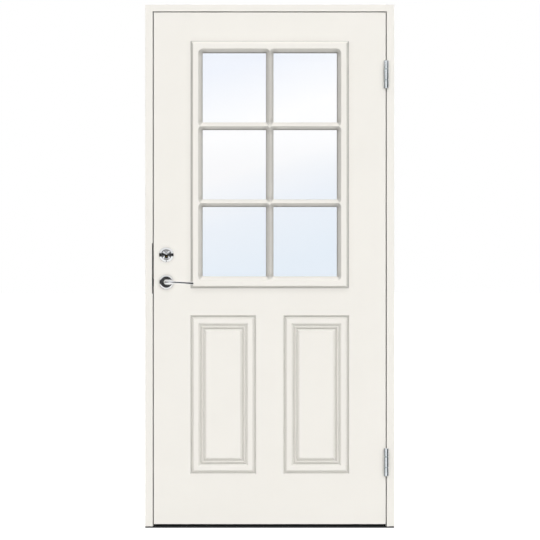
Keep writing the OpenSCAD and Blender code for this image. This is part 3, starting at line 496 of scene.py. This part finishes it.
def dress(piece, material_name):
    """Gives a mesh one material."""
    piece.data.materials.clear()
    piece.data.materials.append(materials[material_name])


for part in frame["record"]["subparts"]:
    dress(nodes[part["node"]], part["material_slot"])
# The glazing frames get the paint with painted shade for mouldings
for name in ("outer_glazing_frame", "inner_glazing_frame"):
    dress(nodes[name], "shaded_moulding_paint")


# Eased edges on the CAD nodes, (width, segments) of each bevel

EASED = {
    "lock_jamb": (0.0004, 2), "hinge_jamb": (0.0004, 2), "frame_head": (0.0005, 2),
    "threshold": (0.0008, 2), "outer_skin": (0.0004, 2), "inner_skin": (0.0004, 2),
    "outer_glazing_frame": (0.0012, 2), "inner_glazing_frame": (0.0012, 2),
    "strike_plate": (0.0003, 1), "lock_faceplate": (0.0003, 1), "thumbturn": (0.0012, 3),
    "cylinder_ring": (0.0006, 3), "cylinder_body": (0.0004, 2), "key_plug": (0.0003, 2),
    "latch_bolt": (0.0005, 2), "deadbolt": (0.0008, 2),
}
BEVEL_ANGLE = math.radians(35)


def ease_edges(node, width, segments):
    bevel = node.modifiers.new("eased_edges", "BEVEL")
    bevel.width = width
    bevel.segments = segments
    bevel.limit_method = "ANGLE"
    bevel.angle_limit = BEVEL_ANGLE
    bevel.use_clamp_overlap = True
    bevel.harden_normals = True


for name, (width, segments) in EASED.items():
    ease_edges(nodes[name], width, segments)


# Hinge plates let light past, as the photo shows hardly any shadow beside them

for name in nodes:
    if "hinge" in name and "plate" in name:
        nodes[name].visible_shadow = False


# Helpers that build meshes

def link(name, data):
    """A new object with its data, linked to the scene."""
    thing = bpy.data.objects.new(name, data)
    bpy.context.scene.collection.objects.link(thing)
    return thing


def mesh_piece(name, mesh):
    """A new object from a finished bmesh, which is freed."""
    data = bpy.data.meshes.new(name)
    mesh.to_mesh(data)
    mesh.free()
    return link(name, data)


def add_loops(mesh, loops):
    """Vertices of a mesh, in loops of points."""
    return [[mesh.verts.new(point) for point in loop] for loop in loops]


def skin_between(mesh, first, second):
    """Four-sided faces between two closed loops of vertices."""
    count = len(first)
    for k in range(count):
        m = (k + 1) % count
        mesh.faces.new((first[k], first[m], second[m], second[k]))


# Levers, smooth forms along the same stations as the faceted solids, with a slightly squarer grip

LEVER_LENGTH = 0.109
LEVER_REACH = 0.050
LEVER_BEND = 0.016
LEVER_START = 0.001
LEVER_DROOP = 0.0056
DROOP_POWER = 1.5
NECK_R = 0.010
GRIP_HALF = (0.0034, 0.0065)
GRIP_FLARE = 0.0016
TAPER = (0.010, 0.044)
GRIP_ROUNDNESS = 0.26
TIP_LENGTH = GRIP_HALF[0]
TIP_ANGLE = math.radians(86)
LEVER_SIDES = 56
BEND_STEPS = 20
GRIP_STEPS = 44
TIP_STEPS = 10


def eased(value, low, high):
    t = min(max((value - low) / (high - low), 0.0), 1.0)
    return t * t * (3.0 - 2.0 * t)


def tapered(x, neck, grip):
    return neck + (grip - neck) * eased(x, *TAPER)


def lever_station(x, out, angle, shrink=1.0):
    """Centre, turn and section of the lever at one place along it."""
    flare = GRIP_FLARE * max(0.0, x - TAPER[1]) / (LEVER_LENGTH - TAPER[1])
    return {
        "x": x, "out": out, "angle": angle,
        "z": -LEVER_DROOP * (max(x, 0.0) / LEVER_LENGTH) ** DROOP_POWER,
        "height": shrink * (tapered(x, NECK_R, GRIP_HALF[0]) + flare),
        "depth": shrink * tapered(x, NECK_R, GRIP_HALF[1]),
        "roundness": tapered(x, 1.0, GRIP_ROUNDNESS),
    }


def lever_stations():
    """Stations from the face of the leaf round the bend and along the grip to the rounded tip."""
    quarter = math.pi / 2
    neck_out = LEVER_REACH - LEVER_BEND
    straight = LEVER_LENGTH - TIP_LENGTH - LEVER_BEND
    stations = [lever_station(0.0, LEVER_START, 0.0)]
    for i in range(BEND_STEPS + 1):
        a = quarter * i / BEND_STEPS
        x = LEVER_BEND * (1.0 - math.cos(a))
        stations.append(lever_station(x, neck_out + LEVER_BEND * math.sin(a), a))
    for i in range(1, GRIP_STEPS + 1):
        x = LEVER_BEND + straight * i / GRIP_STEPS
        stations.append(lever_station(x, LEVER_REACH, quarter))
    for i in range(1, TIP_STEPS + 1):
        a = TIP_ANGLE * i / TIP_STEPS
        x = LEVER_LENGTH - TIP_LENGTH + TIP_LENGTH * math.sin(a)
        stations.append(lever_station(x, LEVER_REACH, quarter, math.cos(a)))
    return stations


def squared(value, exponent):
    return math.copysign(abs(value) ** exponent, value)


def lever_ring(station):
    """Points round one station, as (along, out from the face, up) from the lever's axis."""
    ring = []
    for k in range(LEVER_SIDES):
        t = 2.0 * math.pi * k / LEVER_SIDES
        depth = station["depth"] * squared(math.cos(t), station["roundness"])
        height = station["height"] * squared(math.sin(t), station["roundness"])
        ring.append((
            station["x"] + depth * math.cos(station["angle"]),
            station["out"] - depth * math.sin(station["angle"]),
            station["z"] + height,
        ))
    return ring


def loft(name, rings):
    """Closed skin over rings that have the same number of points, smooth but for the flat ends."""
    mesh = bmesh.new()
    loops = add_loops(mesh, rings)
    for first, second in zip(loops, loops[1:]):
        skin_between(mesh, first, second)
    mesh.faces.new(loops[0][::-1])
    mesh.faces.new(loops[-1])
    bmesh.ops.recalc_face_normals(mesh, faces=mesh.faces)
    for face in mesh.faces:
        face.smooth = len(face.verts) == 4
    return mesh_piece(name, mesh)


def make_lever(name, face_y, outward, replaced):
    rings = []
    for station in lever_stations():
        ring = [
            (LEVER_AXIS.x + along, face_y + outward * out, LEVER_AXIS.z + up)
            for along, out, up in lever_ring(station)
        ]
        rings.append(ring)
    lever = loft(name, rings)
    dress(lever, "chrome")
    lever.visible_shadow = False
    lever.visible_diffuse = False
    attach(lever, "lever_set")
    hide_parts(replaced)


make_lever("outer_lever_form", LEAF_LOW.y, -1.0, "outer_lever")
make_lever("inner_lever_form", LEAF_HIGH.y, 1.0, "inner_lever")


# Dark rubber bead where each glazing frame meets the face of the leaf, standing in for the shade line at
# that join

BEAD_W = 0.0008
BEAD_H = 0.0006


def rectangle_loop(low, high, grown, y):
    """Corners of a rectangle in the X and Z plane, grown by a margin."""
    left, right = low.x - grown, high.x + grown
    foot, top = low.z - grown, high.z + grown
    return [(left, y, foot), (right, y, foot), (right, y, top), (left, y, top)]


def make_shade_bead(name, around, face_y, outward):
    low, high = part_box(around)
    top_y = face_y + outward * BEAD_H
    profile = ((0.0, face_y), (0.0, top_y), (BEAD_W, top_y), (BEAD_W, face_y))
    mesh = bmesh.new()
    loops = add_loops(mesh, [rectangle_loop(low, high, grown, y) for grown, y in profile])
    for first, second in zip(loops, loops[1:] + loops[:1]):
        skin_between(mesh, first, second)
    bmesh.ops.recalc_face_normals(mesh, faces=mesh.faces)
    bead = mesh_piece(name, mesh)
    dress(bead, "rubber_seal")
    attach(bead, "leaf")


make_shade_bead("outer_glazing_shade_bead", "outer_glazing_frame", LEAF_LOW.y, -1.0)
make_shade_bead("inner_glazing_shade_bead", "inner_glazing_frame", LEAF_HIGH.y, 1.0)


# Helpers for the studio

WHITE = (1.0, 1.0, 1.0)
NO_BOUNCE_BELOW = 0.5


def bare_material(name):
    """A material without nodes, and its node tree."""
    material = bpy.data.materials.new(name)
    material.use_nodes = True
    material.node_tree.nodes.clear()
    return material, NodeTree(material.node_tree)


def background_rays(tree):
    """1 for rays that show the background.

    They come from the camera, or through gloss and glass before any diffuse bounce.
    """
    path = tree.add("ShaderNodeLightPath").outputs
    shown = tree.math("MAXIMUM", path["Is Camera Ray"], path["Is Glossy Ray"])
    shown = tree.math("MAXIMUM", shown, path["Is Transmission Ray"])
    unscattered = tree.math("LESS_THAN", path["Diffuse Depth"], NO_BOUNCE_BELOW)
    return tree.math("MULTIPLY", shown, unscattered)


def choose_by_ray(tree, as_light, as_seen, output_kind):
    """Ends a tree with one shader as a light and another as the background that is seen."""
    choose = tree.add("ShaderNodeMixShader")
    tree.join(background_rays(tree), choose.inputs["Fac"])
    tree.join(as_light, choose.inputs[1])
    tree.join(as_seen, choose.inputs[2])
    tree.join(choose.outputs[0], tree.add(output_kind).inputs["Surface"])


def glossy_only(thing):
    """Seen in reflections alone."""
    thing.visible_camera = False
    thing.visible_diffuse = False
    thing.visible_transmission = False
    thing.visible_volume_scatter = False
    thing.visible_shadow = False


# Floor, white where it is seen, with the door's shadow on it

FLOOR_HALF = 300.0
FLOOR_GLOW = 0.87
FLOOR_SHADE = 0.34
FLOOR_BOUNCE = 0.26


def grey_diffuse(tree, level):
    node = tree.add("ShaderNodeBsdfDiffuse")
    tree.give(node.inputs["Color"], (level, level, level))
    return node.outputs[0]


def make_floor():
    mesh = bmesh.new()
    corners = ((-1, -1), (1, -1), (1, 1), (-1, 1))
    mesh.faces.new([mesh.verts.new((x * FLOOR_HALF, y * FLOOR_HALF, 0.0)) for x, y in corners])
    floor = mesh_piece("floor", mesh)
    material, tree = bare_material("pale_floor")
    glow = tree.add("ShaderNodeEmission")
    glow.inputs["Strength"].default_value = FLOOR_GLOW
    white = tree.add("ShaderNodeAddShader")
    tree.join(grey_diffuse(tree, FLOOR_SHADE), white.inputs[0])
    tree.join(glow.outputs[0], white.inputs[1])
    pale = grey_diffuse(tree, FLOOR_BOUNCE)
    choose_by_ray(tree, pale, white.outputs[0], "ShaderNodeOutputMaterial")
    floor.data.materials.append(material)


make_floor()


# World, white where it is seen; as a light, an even level and broad soft lights round three directions

AMBIENT = 0.06
KEY = {"strength": 6.6, "spread": 8.0, "elevation": math.radians(5), "turn": math.radians(6)}
OVERHEAD = {"strength": 1.2, "spread": 4.0, "elevation": math.radians(90), "turn": 0.0}
INSIDE = {"strength": 4.3, "spread": 5.0, "elevation": math.radians(5), "turn": math.radians(170)}


def add_lobe(tree, level, lobe):
    """Adds a broad soft light round one direction to a level of the world."""
    flat = math.cos(lobe["elevation"])
    direction = (
        flat * math.sin(lobe["turn"]),
        -flat * math.cos(lobe["turn"]),
        math.sin(lobe["elevation"]),
    )
    towards = tree.add("ShaderNodeVectorMath", operation="DOT_PRODUCT")
    towards.inputs[1].default_value = direction
    tree.join(tree.add("ShaderNodeTexCoord").outputs["Generated"], towards.inputs[0])
    light = tree.math("MAXIMUM", towards.outputs["Value"], 0.0)
    light = tree.math("POWER", light, lobe["spread"])
    light = tree.math("MULTIPLY", light, lobe["strength"])
    return tree.math("ADD", light, level)


def white_background(tree, strength):
    node = tree.add("ShaderNodeBackground")
    tree.give(node.inputs["Color"], WHITE)
    tree.give(node.inputs["Strength"], strength)
    return node.outputs[0]


def make_world():
    world = bpy.data.worlds.new("studio")
    bpy.context.scene.world = world
    world.use_nodes = True
    world.node_tree.nodes.clear()
    tree = NodeTree(world.node_tree)
    level = AMBIENT
    for lobe in (KEY, OVERHEAD, INSIDE):
        level = add_lobe(tree, level, lobe)
    light = white_background(tree, level)
    seen = white_background(tree, 1.0)
    choose_by_ray(tree, light, seen, "ShaderNodeOutputWorld")


make_world()


# Studio walls that only the metal reflects

WALL_RADIUS = 3.4
WALL_LOW = 0.05
WALL_HIGH = 1.95
WALL_HALF_ANGLE = math.radians(90)
WALL_STEPS = 48
DARK = 0.03
STRIP = 1.3
LEFT_SIDE = 0.14
RIGHT_SIDE = 0.09
BRIGHT_STRIP = (math.radians(-34), math.radians(34))
STRIP_BLEND = math.radians(8)
LOCK_BAND = (0.55, 1.55)
BAND_BLEND = 0.12
BACK_LEVELS = (0.10, 0.85)
BACK_BLEND = 0.7 * WALL_RADIUS


def blend(tree, value, middle, half_width, low, high):
    """Smooth step of a value from one level to another."""
    return tree.spread(value, low, high, middle - half_width, middle + half_width, "SMOOTHSTEP")


def front_pattern(tree, position):
    """Level of the wall: dark at the height of the lock, a bright strip between two greys at the hinges."""
    y_out = tree.math("MULTIPLY", tree.axis("Y", position), -1.0)
    turn = tree.math("ARCTAN2", tree.axis("X", position), y_out)
    rise = blend(tree, turn, BRIGHT_STRIP[0], STRIP_BLEND, LEFT_SIDE, STRIP)
    fall = blend(tree, turn, BRIGHT_STRIP[1], STRIP_BLEND, 1.0, RIGHT_SIDE / STRIP)
    sides = tree.math("MULTIPLY", rise, fall)
    height = tree.axis("Z", position)
    below = blend(tree, height, LOCK_BAND[0], BAND_BLEND, 1.0, 0.0)
    above = blend(tree, height, LOCK_BAND[1], BAND_BLEND, 0.0, 1.0)
    outside = tree.math("MAXIMUM", below, above)
    return tree.math("MAXIMUM", tree.math("MULTIPLY", sides, outside), DARK)


def back_pattern(tree, position):
    """Level of the wall inside: dark on one side, bright on the other."""
    return blend(tree, tree.axis("X", position), 0.0, BACK_BLEND, *BACK_LEVELS)


def wall_mesh(facing):
    """Upright half cylinder round one side of the door."""
    mesh = bmesh.new()
    columns = []
    for i in range(WALL_STEPS + 1):
        a = WALL_HALF_ANGLE * (2.0 * i / WALL_STEPS - 1.0)
        x = WALL_RADIUS * math.sin(a)
        y = facing * WALL_RADIUS * math.cos(a)
        columns.append([mesh.verts.new((x, y, z)) for z in (WALL_LOW, WALL_HIGH)])
    for first, second in zip(columns, columns[1:]):
        mesh.faces.new((first[0], second[0], second[1], first[1]))
    return mesh


def make_wall(name, facing, pattern):
    wall = mesh_piece(name, wall_mesh(facing))
    material, tree = bare_material(name)
    position = tree.add("ShaderNodeNewGeometry").outputs["Position"]
    glow = tree.add("ShaderNodeEmission")
    tree.join(pattern(tree, position), glow.inputs["Strength"])
    tree.join(glow.outputs[0], tree.add("ShaderNodeOutputMaterial").inputs["Surface"])
    wall.data.materials.append(material)
    glossy_only(wall)


make_wall("front_wall", -1.0, front_pattern)
make_wall("back_wall", 1.0, back_pattern)


# Lamps that light only the turned face of the cylinder

SOFTBOX_DISTANCE = 1.3
SOFTBOX_OFF_AXIS = math.radians(20)
SOFTBOX_SIDE = 0.045
SOFTBOX_POWER = 3.0

turned_faces = bpy.data.collections.new("turned_faces")
turned_faces.objects.link(nodes["cylinder_body"])


def make_softbox(name, rise):
    """Square lamp to the left of the lock, above or below it and aimed at it."""
    data = bpy.data.lights.new(name, "AREA")
    data.shape = "SQUARE"
    data.size = SOFTBOX_SIDE
    data.energy = SOFTBOX_POWER
    lamp = link(name, data)
    across = math.sin(SOFTBOX_OFF_AXIS) * math.sqrt(0.5)
    away = Vector((-across, -math.cos(SOFTBOX_OFF_AXIS), rise * across))
    lamp.location = CYLINDER_CENTRE + SOFTBOX_DISTANCE * away
    lamp.rotation_mode = "QUATERNION"
    lamp.rotation_quaternion = (-away).to_track_quat("-Z", "Y")
    lamp.light_linking.receiver_collection = turned_faces
    glossy_only(lamp)


make_softbox("high_softbox", 1.0)
make_softbox("low_softbox", -1.0)


# Camera, square on to the outside

CAMERA_DISTANCE = 31.0
VIEW_SPAN = 2.1468
VIEW_CENTRE_X = 0.0011
VIEW_CENTRE_Z = 1.0251
SENSOR = 36.0
CLIP_END = 1000.0

camera_data = bpy.data.cameras.new("camera")
camera_data.sensor_width = SENSOR
camera_data.lens = SENSOR * CAMERA_DISTANCE / VIEW_SPAN
camera_data.clip_end = CLIP_END
camera = link("camera", camera_data)
camera.location = (VIEW_CENTRE_X, FRONT_Y - CAMERA_DISTANCE, VIEW_CENTRE_Z)
camera.rotation_euler = (math.pi / 2, 0.0, 0.0)
bpy.context.scene.camera = camera

bpy.context.scene.view_settings.view_transform = "Standard"
